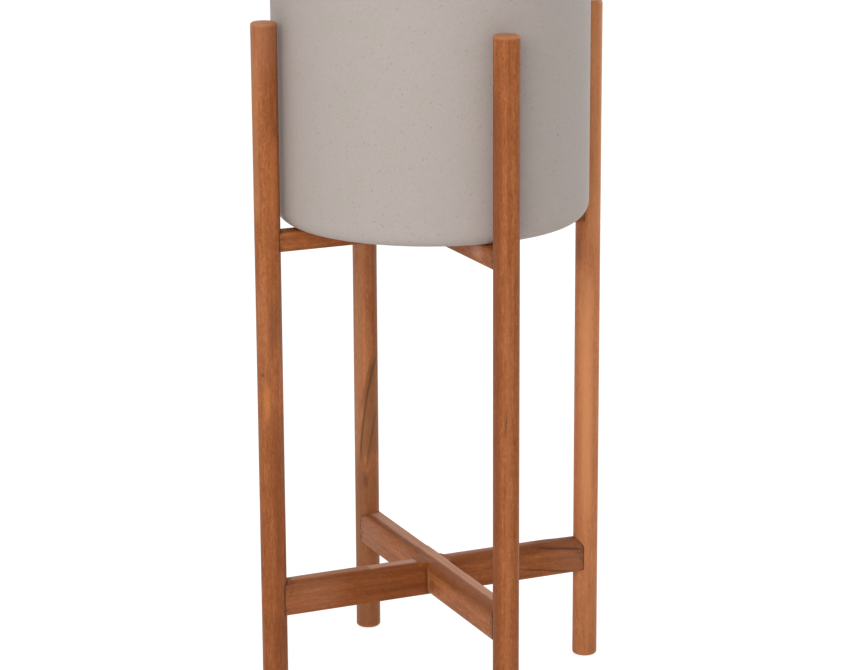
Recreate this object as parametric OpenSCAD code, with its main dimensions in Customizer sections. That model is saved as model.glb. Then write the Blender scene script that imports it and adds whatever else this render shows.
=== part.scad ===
// A cylindrical pot cradled between four round legs, carried by a pair of lapped cross rails.
// The floor is at z = 0 and the middle of the stand is the z axis; the front leg is at -Y.

/* [Legs] */
// Diameter of a leg
leg_d = 25; // [20:0.5:40]
// Length of a leg, from the floor to its top
leg_len = 676; // [600:1:760]
// Radius of the easing at both ends of a leg
leg_ease = 3; // [1:0.5:5]
// Distance kept between the pot and the legs
pot_leg_gap = 5; // [1:0.5:12]

/* [Lower rails] */
// Height of the lower rails' underside above the floor
lower_z = 93; // [60:1:250]
// How far a lower rail's faces lie inside the leg's width, on each side
lower_inset = 1.5; // [0.5:0.5:3]
// Height of a lower rail
lower_h = 34; // [30:0.5:60]
// Radius of the rounding along a lower rail's edges
lower_round = 4.5; // [1:0.5:6]

/* [Upper rails] */
// Height of the upper rails' underside above the floor
upper_z = 457; // [380:1:500]
// How far an upper rail's faces lie inside the leg's width, on each side
upper_inset = 2.5; // [0.5:0.5:4]
// Height of an upper rail
upper_h = 19; // [16:0.5:40]
// Radius of the rounding along an upper rail's edges
upper_round = 2.5; // [1:0.5:5]
// Length of square edge left on each side of a crossing
square_len = 9; // [4:1:25]

/* [Pot] */
// Outside diameter of the pot
pot_d = 305; // [220:1:400]
// Height of the pot
pot_h = 280; // [220:1:360]
// Thickness of the pot's wall
pot_wall = 9; // [6:0.5:16]
// Thickness of the pot's floor
pot_floor = 12; // [8:0.5:20]
// Radius of the rounded edge round the pot's foot
pot_foot_round = 18; // [8:0.5:24]
// Radius of the hollow corner inside the pot
pot_inner_round = 12; // [8:0.5:24]
// Diameter of the drain hole
drain_d = 22; // [12:0.5:40]

/* [Drain plug] */
// How far the plug's flange reaches past the drain hole
plug_flange = 5; // [3:0.5:10]
// Thickness of the plug's flange
plug_flange_t = 2.5; // [1.5:0.5:4]
// Diameter of the grip on top of the plug
plug_grip_d = 12; // [8:0.5:20]
// Height of the grip above the flange
plug_grip_h = 4; // [2:0.5:8]
// Radius of the easing round the grip's top
plug_grip_ease = 1; // [0.5:0.25:1.5]
// How far the plug stays above the pot's underside
plug_recess = 2; // [1:0.5:5]
// Gap round the plug in its hole
plug_clear = 0.15; // [0.1:0.05:0.4]

/* [Dowels and screws] */
// Diameter of a dowel in a lower joint
lower_dowel_d = 8; // [5:0.5:10]
// Distance between the two dowels of a lower joint
lower_dowel_pitch = 16; // [12:0.5:20]
// Diameter of a dowel in an upper joint
upper_dowel_d = 8; // [5:0.5:9]
// How deep a dowel enters its leg
dowel_in_leg = 14; // [8:0.5:15]
// How deep a dowel enters its rail
dowel_in_rail = 20; // [12:0.5:30]
// Chamfer at the ends of a dowel
dowel_chamfer = 1; // [0.5:0.25:1.5]
// Diameter of a crossing's screw
screw_d = 4; // [3:0.5:5]
// Diameter of the screw's countersunk head
screw_head_d = 8; // [7:0.5:10]
// How far the screw's tip stays below the top of the crossing
screw_tip_cover = 4; // [3:0.5:7]
// Width of the crossed driver slots in the screw's head
screw_slot_w = 1; // [0.6:0.1:1.4]
// Length of the driver slots
screw_slot_len = 4.8; // [4:0.1:6]
// Depth of the driver slots
screw_slot_depth = 1.2; // [0.6:0.1:1.4]

/* [Fits] */
// Gap round a dowel or a screw in its hole
hole_clear = 0.05; // [0.02:0.01:0.15]
// Gap between a coped rail end and its leg
cope_clear = 0.05; // [0.02:0.01:0.2]
// Gap on each side of a rail in the notch that it crosses
lap_clear = 0.05; // [0.02:0.01:0.2]
// Gap between the pot and the rails that carry it
seat_clear = 0.1; // [0.05:0.05:0.5]

/* [Hidden] */
$fn = 96;

// Directions from the middle of the stand to each leg, as turns about z
at_right = 0;
at_back = 90;
at_left = 180;
at_front = 270;

leg_r = leg_d / 2;
pot_r = pot_d / 2;
pot_inner_r = pot_r - pot_wall;
leg_circle_r = pot_r + pot_leg_gap + leg_r;
lower_w = leg_d - 2 * lower_inset;
upper_w = leg_d - 2 * upper_inset;
lower_mid_z = lower_z + lower_h / 2;
upper_mid_z = upper_z + upper_h / 2;
pot_z = upper_z + upper_h + seat_clear;
lower_dowel_zs = [lower_mid_z - lower_dowel_pitch / 2, lower_mid_z + lower_dowel_pitch / 2];
upper_dowel_zs = [upper_mid_z];
dowel_seat_x = leg_circle_r - leg_r;
screw_head_h = (screw_head_d - screw_d) / 2;
// Cuts reach this far past the faces that they open
past = 1;

oiled_wood = [0.62, 0.34, 0.19];
dowel_wood = [0.82, 0.68, 0.48];
clay = [0.70, 0.66, 0.62];
soft_rubber = [0.16, 0.16, 0.16];
bright_steel = [0.72, 0.73, 0.75];

// Flat outline of a bar's section, with true arcs at its corners
module rounded_section(w, h, r) {
    square([w - 2 * r, h], center = true);
    square([w, h - 2 * r], center = true);
    for (sx = [-1, 1], sy = [-1, 1])
        translate([sx * (w / 2 - r), sy * (h / 2 - r)]) circle(r = r, $fn = 48);
}

// Half outline of a round post standing on z = 0, for turning about z
module post_outline(r, len, ease) {
    square([r - ease, len]);
    translate([0, ease]) square([r, len - 2 * ease]);
    for (z = [ease, len - ease])
        translate([r - ease, z]) circle(r = ease, $fn = 48);
}

// Dowel lying along +X, with its middle plane where the leg's face meets the rail
module dowel(d, grow = 0) {
    len = dowel_in_leg + dowel_in_rail + 2 * grow;
    c = grow > 0 ? 0 : dowel_chamfer;
    translate([dowel_seat_x - dowel_in_rail - grow, 0, 0])
        rotate([0, 90, 0]) {
            translate([0, 0, c]) cylinder(d = d + 2 * grow, h = len - 2 * c);
            if (c > 0) {
                cylinder(d1 = d - 2 * c, d2 = d, h = c);
                translate([0, 0, len - c]) cylinder(d1 = d, d2 = d - 2 * c, h = c);
            }
        }
}

// The dowels of one lower or upper joint, at the +X side
module joint_dowels(d, zs, grow = 0) {
    for (z = zs) translate([0, 0, z]) dowel(d, grow);
}

// Every hole that the dowels need in a leg or a rail, at the +X side
module dowel_holes() {
    joint_dowels(lower_dowel_d, lower_dowel_zs, hole_clear);
    joint_dowels(upper_dowel_d, upper_dowel_zs, hole_clear);
}

// A leg, turned to its place round the stand
module leg(turn) {
    color(oiled_wood)
        rotate([0, 0, turn])
            difference() {
                translate([leg_circle_r, 0, 0])
                    rotate_extrude() post_outline(leg_r, leg_len, leg_ease);
                dowel_holes();
            }
}

// A rail along X before its notch: rounded arms, square round the crossing, ends coped to the legs
module rail_blank(w, h, z, r) {
    square_half = w / 2 + square_len;
    translate([0, 0, z + h / 2])
        difference() {
            union() {
                rotate([90, 0, 90])
                    translate([0, 0, -leg_circle_r])
                        linear_extrude(2 * leg_circle_r) rounded_section(w, h, r);
                cube([2 * square_half, w, h], center = true);
            }
            for (sx = [-1, 1])
                translate([sx * leg_circle_r, 0, -h / 2 - past])
                    cylinder(r = leg_r + cope_clear, h = h + 2 * past);
        }
}

// A rail along X with its notch, its dowel holes and the hole for the crossing's screw
module rail(w, h, z, r, notch_above) {
    notch_z = notch_above ? z + h / 2 : z - past;
    difference() {
        rail_blank(w, h, z, r);
        translate([-w / 2 - lap_clear, -w / 2 - past, notch_z])
            cube([w + 2 * lap_clear, w + 2 * past, h / 2 + past]);
        for (turn = [at_right, at_left]) rotate([0, 0, turn]) dowel_holes();
        lap_screw_shape(h, z, hole_clear);
    }
}

// Screw up through the middle of a crossing, its head sunk flush in the underside
module lap_screw_shape(h, z, grow = 0) {
    len = h - screw_tip_cover;
    translate([0, 0, z]) {
        cylinder(d = screw_d + 2 * grow, h = len + grow);
        cylinder(d1 = screw_head_d + 2 * grow, d2 = screw_d + 2 * grow, h = screw_head_h);
        if (grow > 0)
            translate([0, 0, -past]) cylinder(d = screw_head_d + 2 * grow, h = past);
    }
}

// The screw itself, with crossed driver slots in its head
module lap_screw(h, z) {
    color(bright_steel)
        difference() {
            lap_screw_shape(h, z);
            for (turn = [0, 90])
                translate([0, 0, z]) rotate([0, 0, turn])
                    cube([screw_slot_len, screw_slot_w, 2 * screw_slot_depth], center = true);
        }
}

module lower_rail_left_right() {
    color(oiled_wood) rail(lower_w, lower_h, lower_z, lower_round, true);
}

module lower_rail_front_back() {
    color(oiled_wood)
        rotate([0, 0, at_back]) rail(lower_w, lower_h, lower_z, lower_round, false);
}

module upper_rail_left_right() {
    color(oiled_wood) rail(upper_w, upper_h, upper_z, upper_round, true);
}

module upper_rail_front_back() {
    color(oiled_wood)
        rotate([0, 0, at_back]) rail(upper_w, upper_h, upper_z, upper_round, false);
}

module lower_dowels(turn) {
    color(dowel_wood) rotate([0, 0, turn]) joint_dowels(lower_dowel_d, lower_dowel_zs);
}

module upper_dowel(turn) {
    color(dowel_wood) rotate([0, 0, turn]) joint_dowels(upper_dowel_d, upper_dowel_zs);
}

// Half outline of the pot's outside, from its underside to its rim
module pot_outside() {
    square([pot_r - pot_foot_round, pot_h - pot_wall / 2]);
    translate([0, pot_foot_round])
        square([pot_r, pot_h - pot_wall / 2 - pot_foot_round]);
    translate([pot_r - pot_foot_round, pot_foot_round]) circle(r = pot_foot_round);
}

// Half outline of the hollow, from the pot's floor upwards
module pot_hollow() {
    translate([0, pot_floor])
        square([pot_inner_r - pot_inner_round, pot_h]);
    translate([0, pot_floor + pot_inner_round])
        square([pot_inner_r, pot_h]);
    translate([pot_inner_r - pot_inner_round, pot_floor + pot_inner_round])
        circle(r = pot_inner_round);
}

module pot() {
    color(clay)
        translate([0, 0, pot_z])
            rotate_extrude($fn = 180) {
                difference() {
                    pot_outside();
                    pot_hollow();
                    translate([0, -past]) square([drain_d / 2, pot_floor + 2 * past]);
                }
                translate([pot_r - pot_wall / 2, pot_h - pot_wall / 2])
                    circle(d = pot_wall);
            }
}

// Plug pushed down into the drain hole from inside the pot
module drain_plug() {
    stem_r = drain_d / 2 - plug_clear;
    flange_r = drain_d / 2 + plug_flange;
    color(soft_rubber)
        translate([0, 0, pot_z])
            rotate_extrude() {
                translate([0, plug_recess]) square([stem_r, pot_floor - plug_recess]);
                translate([0, pot_floor])
                    square([flange_r - plug_flange_t / 2, plug_flange_t]);
                translate([flange_r - plug_flange_t / 2, pot_floor + plug_flange_t / 2])
                    circle(d = plug_flange_t, $fn = 32);
                translate([0, pot_floor + plug_flange_t])
                    square([plug_grip_d / 2 - plug_grip_ease, plug_grip_h]);
                translate([0, pot_floor + plug_flange_t])
                    square([plug_grip_d / 2, plug_grip_h - plug_grip_ease]);
                translate([
                    plug_grip_d / 2 - plug_grip_ease,
                    pot_floor + plug_flange_t + plug_grip_h - plug_grip_ease
                ]) circle(r = plug_grip_ease, $fn = 32);
            }
}

leg(at_left);  // leg_left
leg(at_right);  // leg_right
leg(at_front);  // leg_front
leg(at_back);  // leg_back
lower_rail_left_right();
lower_rail_front_back();
upper_rail_left_right();
upper_rail_front_back();
lower_dowels(at_left);  // lower_dowels_left
lower_dowels(at_right);  // lower_dowels_right
lower_dowels(at_front);  // lower_dowels_front
lower_dowels(at_back);  // lower_dowels_back
upper_dowel(at_left);  // upper_dowel_left
upper_dowel(at_right);  // upper_dowel_right
upper_dowel(at_front);  // upper_dowel_front
upper_dowel(at_back);  // upper_dowel_back
lap_screw(lower_h, lower_z);  // lower_lap_screw
lap_screw(upper_h, upper_z);  // upper_lap_screw
pot();
drain_plug();
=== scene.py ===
import math

import bmesh
import bpy
from mathutils import Euler, Matrix, Vector


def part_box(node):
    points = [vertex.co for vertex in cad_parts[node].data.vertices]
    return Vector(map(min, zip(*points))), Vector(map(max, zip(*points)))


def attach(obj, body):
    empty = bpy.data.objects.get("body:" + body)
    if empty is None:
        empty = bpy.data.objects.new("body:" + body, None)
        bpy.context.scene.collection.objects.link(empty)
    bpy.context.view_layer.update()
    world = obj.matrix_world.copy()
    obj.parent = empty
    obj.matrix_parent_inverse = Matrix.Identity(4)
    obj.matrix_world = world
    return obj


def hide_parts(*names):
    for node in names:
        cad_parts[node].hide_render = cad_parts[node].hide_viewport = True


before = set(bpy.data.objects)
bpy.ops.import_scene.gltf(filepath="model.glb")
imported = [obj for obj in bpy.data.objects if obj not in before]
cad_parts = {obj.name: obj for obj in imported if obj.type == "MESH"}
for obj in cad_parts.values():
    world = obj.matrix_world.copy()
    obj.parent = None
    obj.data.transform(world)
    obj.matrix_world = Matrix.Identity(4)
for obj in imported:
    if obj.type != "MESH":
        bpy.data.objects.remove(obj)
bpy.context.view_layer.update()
scene = bpy.context.scene

# sizes that several pieces share, from the CAD's boxes
legLow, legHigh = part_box("leg_right")
legRadius = (legHigh.x - legLow.x) / 2
legReach = (legHigh.x + legLow.x) / 2  # from the pot's axis to a leg's


# A socket in a node tree. Sums and products of wires add Math nodes.
class Wire:
    def __init__(self, tree, socket=None):
        self.tree = tree
        self.socket = socket

    # any node: its settings first, then values or wires for its sockets, by name or number. stops are the
    # places and colours of a colour ramp.
    def node(self, kind, settings=None, inputs=None, output=0):
        made = self.tree.nodes.new(kind)
        for name, value in (settings or {}).items():
            if name == "stops":
                ramp = made.color_ramp.elements
                while len(ramp) < len(value):
                    ramp.new(1.0)
                for element, (place, colour) in zip(ramp, value):
                    element.position, element.color = place, (*colour, 1.0)
            else:
                setattr(made, name, value)
        for name, value in (inputs or {}).items():
            if isinstance(value, Wire):
                self.tree.links.new(value.socket, made.inputs[name])
            elif value is not None:
                made.inputs[name].default_value = value
        return Wire(self.tree, made.outputs[output] if made.outputs else None)

    # another output of the node that this wire comes from
    def beside(self, output):
        return Wire(self.tree, self.socket.node.outputs[output])

    def math(self, operation, *terms):
        return self.node("ShaderNodeMath", {"operation": operation}, dict(enumerate(terms)))

    def __add__(self, other):
        return self.math("ADD", self, other)

    def __sub__(self, other):
        return self.math("SUBTRACT", self, other)

    def __rsub__(self, other):
        return self.math("SUBTRACT", other, self)

    def __mul__(self, other):
        return self.math("MULTIPLY", self, other)

    def __truediv__(self, other):
        return self.math("DIVIDE", self, other)

    __radd__ = __add__


def vectorMath(operation, first, second=None, output="Vector"):
    return first.node("ShaderNodeVectorMath", {"operation": operation}, {0: first, 1: second}, output)


def vectorSum(first, second):
    return vectorMath("ADD", first, second)


def scaled(vector, factors):
    return vectorMath("MULTIPLY", vector, factors)


def heightOf(place):
    return place.node("ShaderNodeSeparateXYZ", None, {0: place}, "Z")


# the sum of the named wires, each times its weight
def weighted(wires, weights):
    return sum((wires[key] * weight for key, weight in weights.items()), 0.0)


def noise(place, scale, detail, roughness, output="Fac"):
    return place.node("ShaderNodeTexNoise", None,
                      {"Vector": place, "Scale": scale, "Detail": detail, "Roughness": roughness}, output)


# noise that is stretched along z: layer holds its scale across and along z, its detail and its roughness
def longNoise(place, layer, output="Fac"):
    across, along, detail, roughness = layer
    return noise(scaled(place, (across, across, along)), 1.0, detail, roughness, output)


# noise that changes along one value alone
def lineNoise(value):
    return value.node("ShaderNodeTexNoise", {"noise_dimensions": "1D"},
                      {"W": value, "Scale": 1.0, "Detail": 1.0, "Roughness": 0.5})


# 0 below low, 1 above high, and a soft step between them
def step(value, low, high):
    return value.node("ShaderNodeMapRange", {"interpolation_type": "SMOOTHSTEP"},
                      {"Value": value, "From Min": low, "From Max": high})


def blend(share, below, above):
    ends = [(*c, 1.0) if isinstance(c, tuple) else c for c in (below, above)]
    return share.node("ShaderNodeMix", {"data_type": "RGBA"}, {0: share, 6: ends[0], 7: ends[1]}, 2)


# a new material and the wire that starts its patterns, in metres from the object's origin
def newMaterial(name):
    material = bpy.data.materials.new(name)
    material.use_nodes = True
    material.node_tree.nodes.clear()
    start = Wire(material.node_tree)
    return material, start.node("ShaderNodeTexCoord", output="Object")


# the material's shader, and its way to the output
def finishMaterial(place, inputs):
    shader = place.node("ShaderNodeBsdfPrincipled", None, inputs)
    place.node("ShaderNodeOutputMaterial", None, {"Surface": shader})


def bump(height, distance, strength):
    return height.node("ShaderNodeBump", None,
                       {"Height": height, "Distance": distance, "Strength": strength}, "Normal")


cameraValues = {
    "place": (-1.1405, -2.5785, 1.0856),
    "azimuth": -23.82,  # degrees from +Y, to the right
    "down": 14.5,  # degrees below the horizon
    "roll": -0.005,  # radians about the line of sight
    "lens": 124.47,
    "sensor": 36.0,
}

lightValues = {
    "surround": 0.49,  # level of the light from all round, as a share of white
    "distance": 3.0,
    "target": (0.0, 0.0, 0.45),
    # level, degrees round from the camera's side, height in degrees, size
    "lamps": {
        "keyLamp": (0.50, -16.0, 22.0, 2.0),
        "edgeLamp": (0.28, 128.0, 16.0, 0.9),
    },
}

floorValues = {
    "size": 24.0,
    "colour": (0.94, 0.94, 0.94),
    "mottle": 0.02,  # how much darker it gets in places
    "patches": (3.0, 3.0, 0.5),  # scale, detail and roughness of their noise
    "glow": 0.78,  # seen with the background, so that the floor ends up white
    "seen": 0.50,
}


def makeCamera(v):
    data = bpy.data.cameras.new("camera")
    data.lens, data.sensor_width = v["lens"], v["sensor"]
    camera = bpy.data.objects.new("camera", data)
    turn = Euler((math.radians(90 - v["down"]), 0, math.radians(v["azimuth"]))).to_matrix()
    turn = turn @ Matrix.Rotation(v["roll"], 3, "Z")
    camera.location, camera.rotation_euler = v["place"], turn.to_euler()
    scene.collection.objects.link(camera)
    scene.camera = camera


# 1 for the rays that see the white background, from the camera or off gloss and through glass
def backgroundRay(tree):
    ray = Wire(tree).node("ShaderNodeLightPath", output="Is Camera Ray")
    both = ray + ray.beside("Is Glossy Ray") + ray.beside("Is Transmission Ray")
    return both.math("MINIMUM", both, 1.0)


# an area lamp that gives white the stated level at the target
def makeLamp(name, level, azimuth, height, size, v):
    data = bpy.data.lights.new(name, "AREA")
    data.shape, data.size = "DISK", size
    data.energy = level * math.pi ** 2 * v["distance"] ** 2
    turn = math.radians(azimuth + cameraValues["azimuth"])
    rise = math.radians(height)
    toward = Vector((math.sin(turn) * math.cos(rise), -math.cos(turn) * math.cos(rise), math.sin(rise)))
    lamp = bpy.data.objects.new(name, data)
    lamp.location = Vector(v["target"]) + toward * v["distance"]
    lamp.rotation_euler = toward.to_track_quat("Z", "Y").to_euler()
    scene.collection.objects.link(lamp)


def makeWorld(v):
    world = bpy.data.worlds.new("studio")
    world.use_nodes = True
    world.node_tree.nodes.clear()
    seen = backgroundRay(world.node_tree)
    level = seen * (1.0 - v["surround"]) + v["surround"]
    sky = seen.node("ShaderNodeBackground", None, {"Color": (1, 1, 1, 1), "Strength": level})
    sky.node("ShaderNodeOutputWorld", None, {"Surface": sky})
    scene.world = world


def makeFloor(v):
    half = v["size"] / 2
    corners = [(-half, -half, 0), (half, -half, 0), (half, half, 0), (-half, half, 0)]
    mesh = bpy.data.meshes.new("floor")
    mesh.from_pydata(corners, [], [(0, 1, 2, 3)])
    floor = bpy.data.objects.new("floor", mesh)
    scene.collection.objects.link(floor)
    material, place = newMaterial("paleFloor")
    mottle = noise(place, *v["patches"]) * v["mottle"] + (1.0 - v["mottle"] / 2)
    black = (0.0, 0.0, 0.0)
    colour = blend(mottle, black, v["colour"])
    seenColour = blend(mottle, black, tuple(c * v["seen"] for c in v["colour"]))
    plain = place.node("ShaderNodeBsdfDiffuse", None, {"Color": colour})
    dim = place.node("ShaderNodeBsdfDiffuse", None, {"Color": seenColour})
    glow = place.node("ShaderNodeEmission", None, {"Color": (1, 1, 1, 1), "Strength": v["glow"]})
    lit = place.node("ShaderNodeAddShader", None, {0: dim, 1: glow})
    both = place.node("ShaderNodeMixShader", None,
                      {0: backgroundRay(material.node_tree), 1: plain, 2: lit})
    place.node("ShaderNodeOutputMaterial", None, {"Surface": both})
    mesh.materials.append(material)


scene.view_settings.view_transform = "Standard"
makeCamera(cameraValues)
makeWorld(lightValues)
for lampName, lampLook in lightValues["lamps"].items():
    makeLamp(lampName, *lampLook, lightValues)
makeFloor(floorValues)
print("camera, floor and lamps are in place")


woodValues = {
    "pale": (0.60, 0.236, 0.088),
    "middle": (0.345, 0.105, 0.030),
    "dark": (0.150, 0.037, 0.008),
    "ringsPerMetre": 210.0,
    "wander": 0.006,  # how far the grain drifts sideways
    # each pattern's scale across and along the grain, its detail and its roughness
    "drift": (7.0, 2.6, 1.0, 0.5),
    "pores": (520.0, 90.0, 0.0, 0.5),
    "patterns": {
        "streaks": (150.0, 9.0, 1.0, 0.5),
        "mottle": (70.0, 24.0, 2.0, 0.6),
        "fibres": (620.0, 30.0, 2.0, 0.6),
        "ripple": (360.0, 150.0, 1.0, 0.5),
        "flecks": (760.0, 380.0, 1.0, 0.5),
    },
    # how strongly each one shades the wood, and those that a piece's figure strengthens
    "shades": {
        "rings": 0.20, "streaks": 0.34, "mottle": 0.38, "fibres": 0.50, "ripple": 0.32, "flecks": 0.42,
    },
    "figured": ("streaks", "mottle"),
    "poreEdge": (0.66, 0.78),
    "poreShare": 0.22,
    "roughness": 0.50,
    "fibreRoughness": 0.16,
    "poreRoughness": 0.12,
    "relief": {"fibres": 0.5, "rings": 0.35, "pores": -0.8},
    "reliefDepth": 0.0001,
    "bump": 0.6,
    "specular": 0.13,
    # the unevenness of the strips' edges: the noise's scale, detail and roughness, and how far it moves them
    "stripNoise": (45.0, 2.0, 0.6),
    "stripWander": 0.0022,
}


wholeWidth = {"at": 0.0, "half": 0.02, "soft": 0.01}  # of a strip that covers its piece from side to side


# Tints the wood along strips that one piece shows. Each strip is a dictionary: at, half and soft across the
# grain, span and fade along it, lean and bend of its line, tint and share. A strip with beyond tints
# everything past its line, on the right or above. across and along are wires in metres.
def tintStrips(place, colour, across, along, facing, strips, v=woodValues):
    across = across + (noise(place, *v["stripNoise"]) - 0.5) * v["stripWander"]
    for strip in strips:
        first, last = strip["span"]
        fade = strip["fade"]
        rise = along - (first + last) / 2
        line = rise * strip.get("lean", 0.0) + rise * rise * strip.get("bend", 0.0) + strip["at"]
        offset = line - across
        if not strip.get("beyond"):
            offset = offset.math("ABSOLUTE", offset)
        inside = 1.0 - step(offset, strip["half"], strip["half"] + strip["soft"])
        ends = step(along, first - fade, first + fade) * (1.0 - step(along, last - fade, last + fade))
        colour = blend(inside * ends * facing * strip["share"], colour, strip["tint"])
    return colour


# Oiled hardwood with its grain along one axis. spot moves the pattern, tone lightens (+) or darkens (-),
# figure is the strength of the broad pattern, cast blends in a colour by its share, and marks tints the
# result: a function of the place and the colour.
def oiledWood(name, axis, centre, marks, spot, tone, figure=1.0, cast=None, v=woodValues):
    material, place = newMaterial(name)
    turn = {"x": (0, math.pi / 2, 0), "y": (math.pi / 2, 0, 0), "z": (0, 0, 0)}[axis]
    centred = place.node("ShaderNodeMapping", None, {"Vector": place, "Location": [-c for c in centre]})
    along = place.node("ShaderNodeMapping", None, {"Vector": centred, "Rotation": turn})
    grain = place.node("ShaderNodeMapping", None, {"Vector": along, "Location": spot})

    # the grain drifts slowly, and the growth rings lie round a pith outside the piece
    drift = vectorSum(longNoise(grain, v["drift"], "Color"), (-0.5, -0.5, -0.5))
    bent = vectorSum(grain, scaled(drift, (v["wander"], v["wander"], 0.0)))
    radius = vectorMath("LENGTH", scaled(bent, (1.0, 1.0, 0.0)), output="Value")
    wires = {key: longNoise(bent, layer) for key, layer in v["patterns"].items()}
    wires["rings"] = lineNoise(radius * v["ringsPerMetre"])
    wires["pores"] = step(longNoise(bent, v["pores"]), *v["poreEdge"])

    shades = {key: share * (figure if key in v["figured"] else 1.0) for key, share in v["shades"].items()}
    shade = weighted({key: wires[key] - 0.5 for key in shades}, shades) + (0.5 + tone)
    stops = [(0.0, v["dark"]), (0.5, v["middle"]), (1.0, v["pale"])]
    colour = place.node("ShaderNodeValToRGB", {"stops": stops}, {"Fac": shade}, "Color")
    colour = blend(wires["pores"] * v["poreShare"], colour, v["dark"])
    if cast:
        colour = blend(wires["mottle"] * cast["share"], colour, cast["tint"])
    colour = marks(place, colour)
    rough = (wires["fibres"] - 0.5) * v["fibreRoughness"] + wires["pores"] * v["poreRoughness"]
    finishMaterial(place, {
        "Base Color": colour, "Roughness": rough + v["roughness"], "Specular IOR Level": v["specular"],
        "Normal": bump(weighted(wires, v["relief"]), v["reliefDepth"], v["bump"]),
    })
    return material


clayValues = {
    "colour": (0.480, 0.420, 0.385),
    "rosy": (0.492, 0.417, 0.392),
    "mossy": (0.466, 0.419, 0.371),
    # scale, detail and roughness of each pattern
    "clouds": (26.0, 3.0, 0.6),
    "hues": (60.0, 3.0, 0.6),
    "dust": (480.0, 2.0, 0.7),
    "cloudEdge": (0.46, 0.70),
    "hueEdge": (0.40, 0.66),
    "hueSpot": (3.0, 1.0, 7.0),  # so that the hues lie elsewhere than the clouds
    "grain": 0.40,  # how much the colour varies from grain to grain
    # cells in a metre, size, share of the cells that stay empty, tint and how strongly it shows
    "dots": {"cells": 330.0, "size": 0.0011, "empty": 0.05, "tint": (0.25, 0.215, 0.195), "share": 0.55},
    "specks": {"cells": 66.0, "size": 0.0014, "empty": 0.70, "tint": (0.13, 0.11, 0.10), "share": 0.80},
    "speckEdge": (0.55, 1.1),
    "leastSpeck": 0.0001,  # keeps a speck's reach above zero, because it divides
    "speckTurn": (0.5, 0.9, 0.3),  # so that no row of cells lies along the wall
    "roughness": 0.74,
    "dustRoughness": 0.15,
    "relief": {"dust": 0.5, "clouds": 0.4, "specks": -0.6},
    "reliefDepth": 0.00012,
    "bump": 0.6,
    "specular": 0.35,
    "footLightFade": (0.0019, 0.0179),  # heights over the pot's underside between which the painted light on the foot fades out
    "footLightTint": (0.57, 0.50, 0.455),
    "footLightShare": 0.55,
}


# round specks in some of the cells, of uneven size and strength
def specks(place, kind, v):
    turned = place.node("ShaderNodeMapping", None, {"Vector": place, "Rotation": v["speckTurn"]})
    found = place.node("ShaderNodeTexVoronoi", None, {"Vector": turned, "Scale": kind["cells"]}, "Distance")
    chance = found.node("ShaderNodeSeparateColor", None, {"Color": found.beside("Color")}, "Red")
    strength = chance.beside("Green")
    reach = step(chance, kind["empty"], 1.0) * (kind["size"] * kind["cells"]) + v["leastSpeck"]
    return (1.0 - step(found / reach, *v["speckEdge"])) * strength * strength


def speckledClay(underside, v):
    material, place = newMaterial("speckledClay")
    wires = {key: noise(place, *v[key]) for key in ("clouds", "dust")}
    wires["specks"] = specks(place, v["specks"], v)
    hues = noise(vectorSum(place, v["hueSpot"]), *v["hues"])
    colour = blend(step(hues, *v["hueEdge"]), v["colour"], v["rosy"])
    colour = blend(step(wires["clouds"], *v["cloudEdge"]), colour, v["mossy"])
    # painted light: a paler foot in place of the light that the floor throws up onto it
    footLow, footHigh = (underside + height for height in v["footLightFade"])
    footLight = 1.0 - step(heightOf(place), footLow, footHigh)
    colour = blend(footLight * v["footLightShare"], colour, v["footLightTint"])
    colour = blend(wires["dust"] * v["grain"], colour, v["dots"]["tint"])
    colour = blend(specks(place, v["dots"], v) * v["dots"]["share"], colour, v["dots"]["tint"])
    colour = blend(wires["specks"] * v["specks"]["share"], colour, v["specks"]["tint"])
    finishMaterial(place, {
        "Base Color": colour, "Specular IOR Level": v["specular"],
        "Roughness": (wires["dust"] - 0.5) * v["dustRoughness"] + v["roughness"],
        "Normal": bump(weighted(wires, v["relief"]), v["reliefDepth"], v["bump"]),
    })
    return material


# Finishes of the small CAD pieces: the noise's scale across and up, its detail and roughness, the two colours
# that it mixes, the shine's roughness and how far it grows, and the depth and strength of the relief.
smallFinishes = {
    "softRubber": {
        "noise": (1400.0, 1400.0, 2.0, 0.5), "colours": ((0.035, 0.034, 0.033), (0.075, 0.073, 0.070)),
        "roughness": (0.6, 0.2), "metallic": 0.0, "relief": (0.0001, 0.5),
    },
    "zincSteel": {
        "noise": (900.0, 900.0, 3.0, 0.5), "colours": ((0.50, 0.50, 0.52), (0.74, 0.74, 0.75)),
        "roughness": (0.28, 0.2), "metallic": 1.0, "relief": (0.00003, 0.4),
    },
    "dowelWood": {
        "noise": (60.0, 900.0, 2.0, 0.5), "colours": ((0.62, 0.42, 0.24), (0.78, 0.60, 0.38)),
        "roughness": (0.6, 0.15), "metallic": 0.0, "relief": (0.0001, 0.5),
    },
}


def smallFinish(name, v):
    material, place = newMaterial(name)
    grain = longNoise(place, v["noise"])
    base, growth = v["roughness"]
    finishMaterial(place, {
        "Base Color": blend(grain, *v["colours"]), "Roughness": grain * growth + base,
        "Metallic": v["metallic"], "Normal": bump(grain, *v["relief"]),
    })
    return material


pieceValues = {
    "weld": 1e-6,  # points closer than this are one
    "sharpAngle": 40.0,  # in degrees
}


# links a finished mesh as a piece of one body, in the place of CAD nodes
def addPiece(mesh, name, material, body, nodes, v=pieceValues):
    work = bmesh.new()
    work.from_mesh(mesh)
    bmesh.ops.remove_doubles(work, verts=work.verts, dist=v["weld"])
    bmesh.ops.recalc_face_normals(work, faces=work.faces)
    work.to_mesh(mesh)
    work.free()
    mesh.materials.clear()
    mesh.materials.append(material)
    mesh.shade_smooth()
    mesh.set_sharp_from_angle(angle=math.radians(v["sharpAngle"]))
    piece = bpy.data.objects.new(name, mesh)
    scene.collection.objects.link(piece)
    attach(piece, body)
    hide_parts(*nodes)


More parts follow.
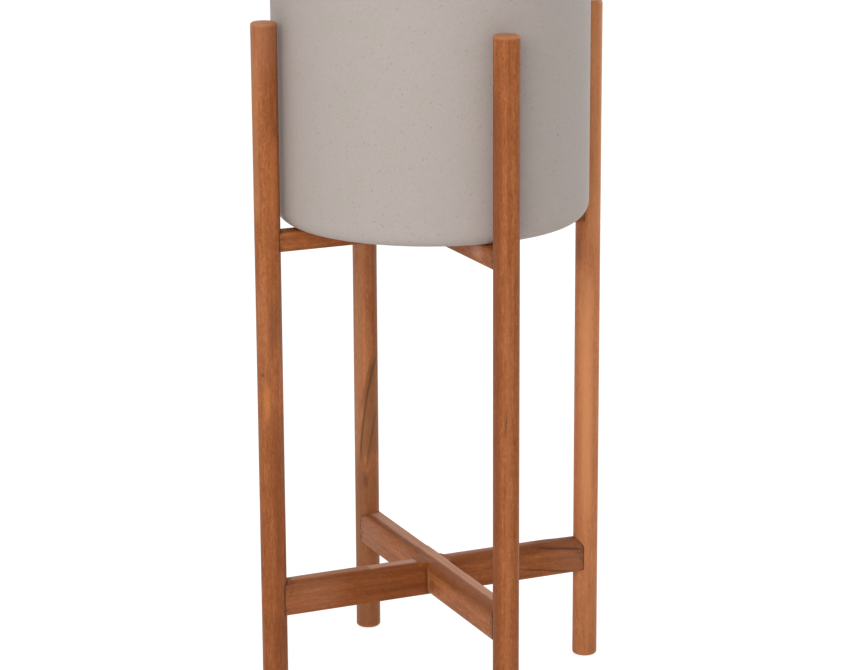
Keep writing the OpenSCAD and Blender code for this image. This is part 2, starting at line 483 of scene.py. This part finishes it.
# the evaluated result of a Geometry Nodes tree as a plain mesh
def treeMesh(name, tree, values, base=None):
    maker = bpy.data.objects.new(name + "Maker", base or bpy.data.meshes.new(name + "Base"))
    scene.collection.objects.link(maker)
    modifier = maker.modifiers.new("shape", "NODES")
    modifier.node_group = tree
    for item in tree.interface.items_tree:
        if item.in_out == "INPUT" and item.name in values:
            modifier[item.identifier] = values[item.name]
    mesh = bpy.data.meshes.new_from_object(maker.evaluated_get(bpy.context.evaluated_depsgraph_get()))
    maker.modifiers.remove(modifier)
    bpy.data.objects.remove(maker)
    return mesh


# a new tree, its start and a wire from each of its inputs
def newTree(name, inputs):
    tree = bpy.data.node_groups.new(name, "GeometryNodeTree")
    tree.interface.new_socket("Geometry", in_out="OUTPUT", socket_type="NodeSocketGeometry")
    for label, kind in inputs.items():
        tree.interface.new_socket(label, in_out="INPUT", socket_type="NodeSocket" + kind)
    start = Wire(tree).node("NodeGroupInput")
    return tree, start, [start.beside(label) for label in inputs]


# the tree's last nodes, which every shape needs
def endTree(shape, material):
    real = shape.node("GeometryNodeRealizeInstances", None, {0: shape})
    painted = shape.node("GeometryNodeSetMaterial", None, {"Geometry": real, "Material": material})
    shape.node("NodeGroupOutput", None, {0: painted})


legValues = {
    "Ease": 0.003,
    "Waver": 0.012,  # how much thinner a hand-sanded leg gets in places
    "Rings": 220,
    "Sides": 72,
    "crowding": 0.96,  # how much closer together the rings stand at both ends
    "waverScale": 7.0,
    "waverGrowth": 20.0,  # how fast the waver grows from the ends, in a metre
    "seedStep": 3.7,  # from one leg's waver to the next one's
    "endGrain": 0.0045,  # height of the lighter end grain
    "endTint": (0.64, 0.29, 0.125),
    "endShare": 0.55,
    "rightward": (0.913, -0.407, 0.0),  # directions on the side that shows the strips
    "outward": (-0.407, -0.913, 0.0),
    "facing": (-0.003, 0.001),  # distances outwards between which the strips fade in
}

# where each leg's pattern starts, and how light and how figured it is
legLooks = {
    "left": {"spot": (0.052, 0.041, 0.0), "tone": 0.01},
    "right": {"spot": (0.033, 0.090, 3.1), "tone": 0.28, "figure": 1.3},
    "front": {"spot": (-0.061, 0.037, 5.3), "tone": -0.04, "figure": 0.6},
    "back": {"spot": (0.045, -0.052, 7.7), "tone": 0.18,
             "cast": {"tint": (0.40, 0.18, 0.09), "share": 0.24}},
}

# Strips seen on the legs. across runs to the right on the side towards the front left, along is the height.
legMarks = {
    "left": [
        # paler and less orange along its top and its middle
        {**wholeWidth, "span": (0.635, 0.720), "fade": 0.030, "tint": (0.56, 0.27, 0.16), "share": 0.24},
        {**wholeWidth, "span": (0.285, 0.425), "fade": 0.03, "tint": (0.54, 0.220, 0.110), "share": 0.13},
        # painted highlight along its left edge, painted shade on its right side next to the pot, and a thin
        # reddish streak
        {"at": -0.0100, "half": 0.0020, "soft": 0.0035, "span": (0.490, 0.645), "fade": 0.02,
         "tint": (0.56, 0.26, 0.12), "share": 0.40},
        {"at": 0.0050, "half": 0.005, "soft": 0.004, "span": (0.570, 0.680), "fade": 0.01,
         "tint": (0.20, 0.055, 0.020), "share": 0.28},
        {"at": 0.0075, "half": 0.001, "soft": 0.004, "span": (0.500, 0.562), "fade": 0.012,
         "tint": (0.52, 0.17, 0.055), "share": 0.45},
        # darker streaks below the middle
        {"at": 0.0, "half": 0.003, "soft": 0.006, "span": (0.020, 0.285), "fade": 0.03,
         "tint": (0.22, 0.060, 0.020), "share": 0.35},
        {"at": 0.0055, "half": 0.004, "soft": 0.004, "span": (-0.010, 0.095), "fade": 0.01,
         "tint": (0.17, 0.045, 0.014), "share": 0.38},
        # a dark and a light patch
        {"at": 0.0075, "half": 0.0045, "soft": 0.003, "span": (0.370, 0.412), "fade": 0.018,
         "tint": (0.15, 0.050, 0.022), "share": 0.38},
        {"at": -0.0025, "half": 0.0015, "soft": 0.003, "span": (0.298, 0.325), "fade": 0.010,
         "tint": (0.66, 0.215, 0.055), "share": 0.36},
        # a pin knot
        {"at": -0.0063, "half": 0.0004, "soft": 0.0022, "span": (0.3365, 0.3395), "fade": 0.002,
         "tint": (0.09, 0.035, 0.018), "share": 0.75},
        # painted shade on its right side below the middle
        {"at": 0.0085, "half": 0.004, "soft": 0.004, "span": (0.060, 0.290), "fade": 0.03,
         "tint": (0.20, 0.055, 0.018), "share": 0.35},
    ],
    "right": [
        # the light band, darker streaks on both sides of it, and a dark patch at its left edge just below the
        # upper rail
        {"at": -0.0005, "half": 0.0015, "soft": 0.0095, "span": (0.150, 0.400), "fade": 0.05,
         "lean": -0.006, "tint": (0.84, 0.365, 0.155), "share": 0.58},
        {"at": -0.0085, "half": 0.002, "soft": 0.003, "span": (0.110, 0.270), "fade": 0.02,
         "tint": (0.50, 0.140, 0.050), "share": 0.40},
        {"at": 0.0080, "half": 0.003, "soft": 0.004, "span": (-0.010, 0.095), "fade": 0.02,
         "tint": (0.28, 0.085, 0.030), "share": 0.30},
        {"at": -0.0115, "half": 0.003, "soft": 0.003, "span": (0.413, 0.445), "fade": 0.012,
         "tint": (0.12, 0.055, 0.035), "share": 0.55},
        # paler wood below the pot and beside it
        {**wholeWidth, "span": (0.030, 0.470), "fade": 0.03, "tint": (0.66, 0.250, 0.110), "share": 0.28},
        {"at": 0.0060, "half": 0.006, "soft": 0.004, "span": (0.440, 0.690), "fade": 0.02,
         "tint": (0.80, 0.340, 0.150), "share": 0.40},
    ],
    "front": [
        # painted highlight down its middle, a darker left side and a fine crack
        {"at": 0.0014, "half": 0.0008, "soft": 0.0030, "span": (-0.010, 0.450), "fade": 0.03,
         "tint": (0.62, 0.25, 0.110), "share": 0.22},
        {"at": -0.0105, "half": 0.003, "soft": 0.0045, "span": (0.0, 0.62), "fade": 0.04,
         "tint": (0.20, 0.058, 0.022), "share": 0.45},
        {"at": -0.0003, "half": 0.0002, "soft": 0.0008, "span": (0.303, 0.325), "fade": 0.006,
         "tint": (0.10, 0.035, 0.015), "share": 0.6},
    ],
    "back": [
        # a lighter left side
        {"at": -0.0035, "half": 0.0015, "soft": 0.0035, "span": (0.190, 0.440), "fade": 0.03,
         "tint": (0.62, 0.250, 0.110), "share": 0.30},
        {"at": -0.0100, "half": 0.003, "soft": 0.0045, "span": (0.0, 0.45), "fade": 0.03,
         "tint": (0.50, 0.250, 0.150), "share": 0.28},
        # greyer wood to the right of the bent vein and below it
        {"at": -0.0010, "half": 0.0, "soft": 0.0020, "span": (0.190, 0.297), "fade": 0.008,
         "lean": 0.15, "bend": 1.1, "beyond": True, "tint": (0.235, 0.100, 0.046), "share": 0.60},
        {**wholeWidth, "span": (-0.01, 0.180), "fade": 0.02, "tint": (0.235, 0.092, 0.040), "share": 0.50},
        # the vein, and the shorter ones beside it
        {"at": -0.0010, "half": 0.0, "soft": 0.0018, "span": (0.183, 0.297), "fade": 0.010,
         "lean": 0.15, "bend": 1.1, "tint": (0.085, 0.040, 0.020), "share": 0.62},
        {"at": 0.0020, "half": 0.001, "soft": 0.0035, "span": (0.245, 0.292), "fade": 0.015,
         "lean": 0.20, "tint": (0.12, 0.045, 0.018), "share": 0.45},
        {"at": 0.0050, "half": 0.0, "soft": 0.0018, "span": (0.178, 0.240), "fade": 0.010,
         "lean": 0.18, "bend": 0.3, "tint": (0.080, 0.040, 0.022), "share": 0.50},
        {"at": -0.0010, "half": 0.001, "soft": 0.003, "span": (0.156, 0.170), "fade": 0.005,
         "tint": (0.10, 0.045, 0.025), "share": 0.50},
        # a darker right side above them
        {"at": 0.0112, "half": 0.002, "soft": 0.0035, "span": (0.290, 0.430), "fade": 0.02,
         "tint": (0.17, 0.058, 0.024), "share": 0.50},
    ],
}


# A round leg along z: its radius follows the easing at both ends and a slow waver between them.
def legTree(v):
    tree, start, wires = newTree("turnedLeg", {
        "Length": "Float", "Radius": "Float", "Ease": "Float", "Waver": "Float",
        "Seed": "Float", "Rings": "Int", "Sides": "Int", "Material": "Material",
    })
    length, radius, ease, waver, seed, rings, sides, material = wires
    line = start.node("GeometryNodeCurvePrimitiveLine", None, {"Start": (0, 0, 0), "End": (0, 0, 1)})
    points = start.node("GeometryNodeResampleCurve", None, {"Curve": line, "Count": rings})
    # the rings stand closer together near both ends
    share = start.node("GeometryNodeSplineParameter", output="Factor")
    crowded = share - share.math("SINE", share * (2 * math.pi)) * (v["crowding"] / (2 * math.pi))
    raised = start.node("ShaderNodeCombineXYZ", None, {"Z": crowded * length})
    axis = start.node("GeometryNodeSetPosition", None, {"Geometry": points, "Position": raised})
    z = heightOf(start.node("GeometryNodeInputPosition"))
    fromEnd = z.math("MINIMUM", z, length - z)
    inEase = ease - fromEnd.math("MINIMUM", fromEnd, ease)
    arc = z.math("SQRT", z.math("MAXIMUM", ease * ease - inEase * inEase, 0.0))
    sway = lineNoise(z * v["waverScale"] + seed)
    growth = z.math("MINIMUM", fromEnd * v["waverGrowth"], 1.0)
    width = (radius - ease + arc) * (1.0 - sway * waver * growth)
    ring = start.node("GeometryNodeCurvePrimitiveCircle", None, {"Resolution": sides, "Radius": 1.0})
    skin = start.node("GeometryNodeCurveToMesh", None,
                      {"Curve": axis, "Profile Curve": ring, "Scale": width, "Fill Caps": True})
    endTree(skin, material)
    return tree


def makeLegs(v):
    tree = legTree(v)
    length = legHigh.z
    places = {"left": (-legReach, 0.0, 0.0), "right": (legReach, 0.0, 0.0),
              "front": (0.0, -legReach, 0.0), "back": (0.0, legReach, 0.0)}
    for number, (side, place) in enumerate(places.items()):
        def marks(start, colour, place=place, side=side):
            local = vectorSum(start, tuple(-c for c in place))
            across = vectorMath("DOT_PRODUCT", local, v["rightward"], "Value")
            front = step(vectorMath("DOT_PRODUCT", local, v["outward"], "Value"), *v["facing"])
            height = heightOf(start)
            colour = tintStrips(start, colour, across, height, front, legMarks[side])
            # end grain at both ends
            ends = step(height, length - v["endGrain"], length) + 1.0 - step(height, 0.0, v["endGrain"])
            return blend(ends * v["endShare"], colour, v["endTint"])

        material = oiledWood(side + "LegWood", "z", place, marks, **legLooks[side])
        values = {**v, "Length": length, "Radius": legRadius, "Seed": v["seedStep"] * number}
        mesh = treeMesh(side + "Leg", tree, {**values, "Material": material})
        mesh.transform(Matrix.Translation(place))
        addPiece(mesh, side + "Leg", material, "stand", ["leg_" + side])


makeLegs(legValues)
print("legs are turned")


railValues = {
    "joint": 0.00005,  # gap between a coped end and its leg, and beside a crossing rail
    "squareRound": 0.0005,  # easing of the square edges at the crossing
    "leastRound": 0.0002,  # what a rounding keeps where the rings get smaller
    "narrowing": 0.96,  # the most of half the width that a rounding takes
    "endEase": 0.0009,  # easing round a coped end
    "endLength": 0.032,  # length over which the sanding near a leg deepens
    # how many steps each stretch has: round an edge, over the flat between two edges, where the rounding
    # begins, along the plain length, near the leg and round the end
    "arcSteps": 10,
    "flatSteps": 4,
    "runSteps": 6,
    "plainSteps": 8,
    "nearSteps": 12,
    "easeSteps": 5,
    # the dark seam where an end meets its leg, and stains in patches round it
    "seam": (0.0002, 0.0014),
    "seamTint": (0.045, 0.020, 0.012),
    "seamShare": 0.80,
    "stainNoise": (190.0, 2.0, 0.7),
    "stainLevel": 0.50,
    "stainReach": 0.045,
    "stainEdge": (0.0, 0.003),
    "stainTint": (0.110, 0.045, 0.026),
    "stainShare": 0.50,
    "topFade": (0.0065, 0.0015),  # depths between which the marks of the top fade in
}

# Each rail's pattern, and how its edges are eased: rounds, the rounding of its top edges at -y and +y (for a
# rail along y at the left and right); stretch, how many times wider than deep they are; squares, how far from
# the middle the same edges are square, for the half at -x and the half at +x; runOuts, the lengths over which
# the rounding then grows; ends, how many times rounder they are at the legs; under, the rounding of its
# bottom edges.
railLooks = {
    "lower_rail_left_right": {
        "name": "lowerRailLeftRight", "axis": "x", "spot": (0.061, 0.043, 1.9), "tone": -0.07,
        "rounds": (0.0045, 0.0045), "stretch": (2.0, 2.0), "squares": ((0.016, 0.016), (0.011, 0.011)),
        "runOuts": (0.004, 0.004), "ends": (1.1, 2.2), "under": 0.0015,
    },
    "lower_rail_front_back": {
        "name": "lowerRailFrontBack", "axis": "y", "spot": (-0.047, 0.066, 4.4), "tone": 0.03,
        "rounds": (0.0020, 0.0045), "stretch": (1.0, 2.0), "squares": ((0.011, 0.011), (0.034, 0.011)),
        "runOuts": (0.006, 0.006), "ends": (1.0, 1.0), "under": 0.0062,
    },
    "upper_rail_left_right": {
        "name": "upperRailLeftRight", "axis": "x", "spot": (0.071, -0.038, 6.2), "tone": -0.06,
        "rounds": (0.0025, 0.0025), "stretch": (1.0, 1.0), "squares": ((0.019, 0.019), (0.019, 0.019)),
        "runOuts": (0.005, 0.005), "ends": (1.2, 1.2), "under": 0.0015,
    },
    "upper_rail_front_back": {
        "name": "upperRailFrontBack", "axis": "y", "spot": (0.039, 0.058, 8.8), "tone": 0.0,
        "rounds": (0.0025, 0.0025), "stretch": (1.0, 1.0), "squares": ((0.019, 0.019), (0.019, 0.019)),
        "runOuts": (0.005, 0.005), "ends": (1.2, 1.2), "under": 0.0015,
    },
}

# Strips seen on the rails. On the sides across is the height over the rail's middle, on top it runs to the
# right or the back, and along runs the length of the rail.
railMarks = {
    "lower_rail_left_right": {
        "sides": [
            # painted shade along its upper edge, where the top rounds over
            {"at": 0.0135, "half": 0.002, "soft": 0.006, "span": (-0.160, 0.160), "fade": 0.01,
             "tint": (0.14, 0.040, 0.010), "share": 0.35},
            # paler near the left leg, darker up to the crossing, partly darker wood and partly painted shade
            # of the crossing rail, and paler again near the right leg
            {"at": 0.0, "half": 0.012, "soft": 0.006, "span": (-0.160, -0.105), "fade": 0.02,
             "tint": (0.34, 0.140, 0.075), "share": 0.35},
            {**wholeWidth, "span": (-0.075, 0.125), "fade": 0.035,
             "tint": (0.175, 0.042, 0.008), "share": 0.15},
            {**wholeWidth, "span": (-0.105, 0.0), "fade": 0.02, "tint": (0.175, 0.042, 0.008), "share": 0.40},
            {"at": -0.0060, "half": 0.001, "soft": 0.003, "span": (-0.085, -0.010), "fade": 0.015,
             "tint": (0.11, 0.028, 0.006), "share": 0.40},
            {**wholeWidth, "span": (0.128, 0.170), "fade": 0.020,
             "tint": (0.320, 0.130, 0.066), "share": 0.48},
            # two fine slanting veins
            {"at": 0.0105, "half": 0.0003, "soft": 0.0022, "span": (0.112, 0.162), "fade": 0.008,
             "lean": -0.16, "tint": (0.07, 0.026, 0.012), "share": 0.70},
            {"at": -0.0107, "half": 0.0002, "soft": 0.0016, "span": (0.096, 0.146), "fade": 0.008,
             "lean": -0.18, "tint": (0.06, 0.025, 0.012), "share": 0.60},
            # painted shade in the inner corner where it meets the crossing rail
            {"at": -0.0030, "half": 0.010, "soft": 0.005, "span": (-0.0135, -0.009), "fade": 0.0016,
             "tint": (0.070, 0.020, 0.005), "share": 0.50},
        ],
        "top": [
            # painted sheen up to the crossing, with a darker back edge and painted shade at its end beside
            # the crossing rail, and painted sheen again beyond it
            {"at": 0.0010, "half": 0.004, "soft": 0.004, "span": (-0.152, -0.020), "fade": 0.001,
             "tint": (0.62, 0.32, 0.20), "share": 0.36},
            {"at": -0.0005, "half": 0.003, "soft": 0.004, "span": (-0.070, -0.020), "fade": 0.002,
             "tint": (0.68, 0.40, 0.27), "share": 0.40},
            {"at": 0.0110, "half": 0.002, "soft": 0.003, "span": (-0.070, -0.009), "fade": 0.010,
             "tint": (0.32, 0.110, 0.036), "share": 0.60},
            {"at": -0.0040, "half": 0.008, "soft": 0.003, "span": (-0.0195, -0.006), "fade": 0.001,
             "tint": (0.27, 0.080, 0.016), "share": 0.65},
            {"at": 0.0040, "half": 0.004, "soft": 0.005, "span": (0.016, 0.110), "fade": 0.004,
             "tint": (0.62, 0.33, 0.20), "share": 0.25},
        ],
    },
    "upper_rail_front_back": {
        "sides": [
            # a painted highlight near the front leg
            {"at": 0.0010, "half": 0.003, "soft": 0.006, "span": (-0.136, -0.116), "fade": 0.010,
             "tint": (0.64, 0.35, 0.24), "share": 0.45},
        ],
        "top": [],
    },
    "lower_rail_front_back": {
        "sides": [
            # painted shade along its upper edge in front, where the top rounds over, a paler end at the back
            # leg, and a light streak between them
            {"at": 0.0125, "half": 0.002, "soft": 0.0045, "span": (-0.165, 0.0), "fade": 0.008,
             "tint": (0.14, 0.042, 0.012), "share": 0.40},
            {**wholeWidth, "span": (0.110, 0.170), "fade": 0.020,
             "tint": (0.50, 0.235, 0.145), "share": 0.25},
            {"at": 0.0020, "half": 0.001, "soft": 0.004, "span": (-0.150, 0.100), "fade": 0.02,
             "tint": (0.58, 0.225, 0.080), "share": 0.25},
            # a painted highlight along the corner at the crossing, and a dark patch beside it
            {"at": -0.0020, "half": 0.013, "soft": 0.004, "span": (-0.0145, -0.009), "fade": 0.0008,
             "tint": (0.42, 0.22, 0.15), "share": 0.45},
            {"at": -0.0040, "half": 0.004, "soft": 0.004, "span": (-0.027, -0.019), "fade": 0.003,
             "tint": (0.16, 0.055, 0.030), "share": 0.40},
        ],
        "top": [
            # painted sheen along its right, in front of the crossing and behind it, with a fine line between
            {"at": 0.0070, "half": 0.0045, "soft": 0.0045, "span": (-0.165, 0.030), "fade": 0.02,
             "tint": (0.72, 0.40, 0.26), "share": 0.58},
            {"at": 0.0060, "half": 0.0065, "soft": 0.003, "span": (0.030, 0.172), "fade": 0.02,
             "tint": (0.60, 0.35, 0.25), "share": 0.48},
            {"at": 0.0052, "half": 0.0002, "soft": 0.0012, "span": (-0.150, 0.140), "fade": 0.02,
             "lean": 0.01, "tint": (0.40, 0.17, 0.10), "share": 0.45},
            # painted shade along its left, and painted light on its left edge where it rounds down to the
            # side
            {"at": -0.0090, "half": 0.005, "soft": 0.006, "span": (-0.160, 0.012), "fade": 0.006,
             "tint": (0.25, 0.073, 0.018), "share": 0.55},
            {"at": -0.0045, "half": 0.0015, "soft": 0.0035, "span": (0.008, 0.162), "fade": 0.010,
             "tint": (0.13, 0.040, 0.012), "share": 0.50},
            {"at": -0.0115, "half": 0.0025, "soft": 0.003, "span": (0.012, 0.165), "fade": 0.006,
             "tint": (0.42, 0.155, 0.066), "share": 0.40},
        ],
    },
}


# 0 below 0, 1 above 1, and a soft step between them
def smooth(t):
    t = min(max(t, 0.0), 1.0)
    return t * t * (3 - 2 * t)


# y and drop of one edge line from side to side, for two corners that are stretched sideways
def edgeLine(rounds, half, stretch, rail):
    left, right = (min(r * share, half * rail["narrowing"]) for r, share in zip(rounds, stretch))
    turns = [math.pi / 2 * i / rail["arcSteps"] for i in range(rail["arcSteps"] + 1)]
    arcs = [[(half - wide + wide * math.sin(a), r - r * math.cos(a)) for a in turns]
            for wide, r in zip((left, right), rounds)]
    count = rail["flatSteps"]
    flat = [left - half + (2 * half - left - right) * i / count for i in range(1, count)]
    return [(-y, drop) for y, drop in reversed(arcs[0])] + [(y, 0.0) for y in flat] + arcs[1]


# rounding of both top edges at a distance from the middle, on the half at -x (0) or at +x (1)
def topRounds(x, side, rail):
    near = smooth(1 - (rail["end"] - x) / rail["endLength"])
    found = []
    for full, square in zip(rail["rounds"], rail["squares"][side]):
        run = smooth((x - square) / rail["runOuts"][side])
        base = rail["squareRound"] + (full - rail["squareRound"]) * run
        found.append(base * (1 + (rail["ends"][side] - 1) * near))
    return found


# A ring round the section: the top line, a side, the bottom line and the other side. shrink makes it smaller,
# and cope is how far it follows the round leg, from 0 to 1.
def railRing(x, shrink, cope, side, rail):
    least = rail["leastRound"]
    top = [max(r - shrink, least) for r in topRounds(x, side, rail)]
    low = [max(rail["under"] - shrink, least)] * 2
    half, tall = rail["width"] / 2 - shrink, rail["height"] / 2 - shrink
    lines = [edgeLine(top, half, rail["stretch"], rail), edgeLine(low, half, (1.0, 1.0), rail)]
    if rail["turned"]:
        lines.reverse()
    upper = [(y, tall - drop) for y, drop in lines[0]]
    lower = [(y, drop - tall) for y, drop in reversed(lines[1])]
    ring = []
    for y, z in upper + [(half, 0.0)] + lower + [(-half, 0.0)]:
        bend = legReach - math.sqrt(rail["copeRadius"] ** 2 - y * y) - rail["end"]
        away = x + bend * cope
        ring.append((away if side else -away, y, z))
    return ring


# distance from the middle, shrink and cope of every ring of one half, from the notch to the leg
def railRows(side, rail):
    steps = rail["runSteps"]
    starts = {rail["notch"]}
    for square in rail["squares"][side]:
        starts.update(square + rail["runOuts"][side] * i / steps for i in range(steps + 1))
    places = sorted(x for x in starts if x >= rail["notch"])
    far = rail["end"] - rail["endLength"]
    last = rail["end"] - rail["endEase"]
    steps = rail["plainSteps"]
    places += [places[-1] + (far - places[-1]) * i / steps for i in range(1, steps + 1)]
    rows = [(x, 0.0, 0.0) for x in places]
    for i in range(1, rail["nearSteps"] + 1):
        t = i / rail["nearSteps"]
        rows.append((far + (last - far) * t, 0.0, smooth(t)))
    for i in range(1, rail["easeSteps"] + 1):
        a = math.pi / 2 * i / rail["easeSteps"]
        rows.append((last + rail["endEase"] * math.sin(a), rail["endEase"] * (1 - math.cos(a)), 1.0))
    return rows


# quads between two lines of points, and from the last to the first where they are rings
def bridge(a, b, closed=False):
    count = len(a) if closed else len(a) - 1
    return [(a[i], a[(i + 1) % len(a)], b[(i + 1) % len(b)], b[i]) for i in range(count)]


# One rail along x round z = 0, notched from above. A turned one is notched from above too, but its eased top
# is below: it is put upside down later.
def railMesh(rail):
    verts, faces, inner = [], [], []
    final = 2 * rail["arcSteps"] + rail["flatSteps"]  # index of the last point of the top line
    for side in (0, 1):
        rings = []
        for row in railRows(side, rail):
            ring = railRing(*row, side, rail)
            rings.append(list(range(len(verts), len(verts) + len(ring))))
            verts.extend(ring)
        for a, b in zip(rings, rings[1:]):
            faces.extend(bridge(a, b, True))
        # the end, between its top line and its bottom line
        end = rings[-1]
        top, bottom = end[:final + 1], end[final + 2:2 * final + 3][::-1]
        faces.extend(bridge(top, bottom))
        faces.append((top[final], bottom[final], end[final + 1]))
        faces.append((top[0], end[-1], bottom[0]))
        # the notch's wall, down to half height
        start = rings[0]
        floorLine = [start[-1]]
        for i in range(1, final):
            x, y, _ = verts[start[i]]
            floorLine.append(len(verts))
            verts.append((x, y, 0.0))
        floorLine.append(start[final + 1])
        faces.extend(bridge(start[:final + 1], floorLine))
        inner.append((floorLine, start[final + 1:]))
    # the notch's floor, and the rail's underside below it
    for a, b in zip(*inner):
        faces.extend(bridge(a, b))
    mesh = bpy.data.meshes.new(rail["name"])
    mesh.from_pydata(verts, [], faces)
    return mesh


def makeRails(v):
    for node, look in railLooks.items():
        low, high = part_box(node)
        turned = look["axis"] == "y"
        acrossIndex = 0 if turned else 1
        width = high[acrossIndex] - low[acrossIndex]
        height, middle = high.z - low.z, (high.z + low.z) / 2
        copeRadius = legRadius + v["joint"]
        rail = {**v, **look, "width": width, "height": height, "turned": turned, "copeRadius": copeRadius,
                "end": legReach - copeRadius, "notch": width / 2 + v["joint"]}
        mesh = railMesh(rail)
        if turned:  # its -x end comes to the front, and its notch below
            mesh.transform(Matrix.Rotation(math.pi / 2, 4, "Z") @ Matrix.Scale(-1, 4, (0, 0, 1)))
        mesh.transform(Matrix.Translation((0, 0, middle)))

        def marks(start, colour, node=node, rail=rail, middle=middle, acrossIndex=acrossIndex):
            tall = heightOf(start)
            along, side = tall.beside(1 - acrossIndex), tall.beside(acrossIndex)
            up = tall - middle
            if node in railMarks:
                onTop = step(up, *(rail["height"] / 2 - depth for depth in v["topFade"]))
                colour = tintStrips(start, colour, up, along, 1.0, railMarks[node]["sides"])
                colour = tintStrips(start, colour, side, along, onTop, railMarks[node]["top"])
            # stains and a dark seam where the end meets the leg
            gap = along.math("ABSOLUTE", along) - legReach
            squared = gap * gap + side * side
            reach = squared.math("SQRT", squared) - legRadius
            patches = (noise(start, *v["stainNoise"]) - v["stainLevel"]) * v["stainReach"]
            stains = (1.0 - step(reach - patches, *v["stainEdge"])) * v["stainShare"]
            seam = (1.0 - step(reach, *v["seam"])) * v["seamShare"]
            return blend(seam, blend(stains, colour, v["stainTint"]), v["seamTint"])

        centre = (0, 0, middle)
        wood = oiledWood(look["name"] + "Wood", look["axis"], centre, marks, look["spot"], look["tone"])
        addPiece(mesh, look["name"], wood, "stand", [node])


makeRails(railValues)
print("rails are coped and lapped")


potValues = {
    "wall": 0.009,
    "floor": 0.012,
    "footRound": 0.018,
    "innerRound": 0.012,
    "lipShare": 0.98,  # the share of half the wall that the rounding of the lip takes
    "drain": 0.011,  # radius of the drain hole
    "drainRound": 0.0015,
    "Segments": 256,
    "Arc Steps": 14,
}


# A closed section whose corners are rounded by their own attribute, swept round the z axis.
def sweptTree():
    tree, start, wires = newTree("sweptPot", {
        "Outline": "Geometry", "Sweep Radius": "Float", "Segments": "Int", "Arc Steps": "Int",
        "Material": "Material",
    })
    outline, sweep, segments, arcSteps, material = wires
    line = start.node("GeometryNodeMeshToCurve", None, {"Mesh": outline})
    corner = start.node("GeometryNodeInputNamedAttribute", {"data_type": "FLOAT"}, {"Name": "cornerRound"})
    section = start.node("GeometryNodeFilletCurve", {"mode": "POLY"},
                         {"Curve": line, "Count": arcSteps, "Radius": corner, "Limit Radius": True})
    path = start.node("GeometryNodeCurvePrimitiveCircle", None, {"Resolution": segments, "Radius": sweep})
    upright = start.node("GeometryNodeSetCurveNormal", {"mode": "Z_UP"}, {"Curve": path})
    skin = start.node("GeometryNodeCurveToMesh", None, {"Curve": upright, "Profile Curve": section})
    endTree(skin, material)
    return tree


def makePot(v):
    low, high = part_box("pot")
    outer, inside = high.x, high.x - v["wall"]
    base, bed, top = low.z, low.z + v["floor"], high.z
    sweep = outer - v["wall"] / 2
    lip = v["wall"] / 2 * v["lipShare"]
    section = [  # distance from the axis, height, rounding
        (outer, base, v["footRound"]),
        (outer, top, lip),
        (inside, top, lip),
        (inside, bed, v["innerRound"]),
        (v["drain"], bed, v["drainRound"]),
        (v["drain"], base, v["drainRound"]),
    ]
    count = len(section)
    # the path's upright normal sends the section's y downwards
    points = [(r - sweep, -z, 0) for r, z, _ in section]
    outline = bpy.data.meshes.new("potOutline")
    outline.from_pydata(points, [(i, (i + 1) % count) for i in range(count)], [])
    corner = outline.attributes.new("cornerRound", "FLOAT", "POINT")
    corner.data.foreach_set("value", [c for _, _, c in section])
    clay = speckledClay(base, clayValues)
    mesh = treeMesh("pot", sweptTree(), {**v, "Sweep Radius": sweep, "Material": clay}, outline)
    addPiece(mesh, "potShell", clay, "pot", ["pot"])


makePot(potValues)
print("pot is turned")

finishes = {name: smallFinish(name, look) for name, look in smallFinishes.items()}
finishWords = {"plug": "softRubber", "screw": "zincSteel", "dowel": "dowelWood"}
for nodeName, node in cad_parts.items():
    for word, finishName in finishWords.items():
        if word in nodeName:
            for materialSlot in node.material_slots:
                materialSlot.material = finishes[finishName]
print("plug, screws and dowels have their finishes")
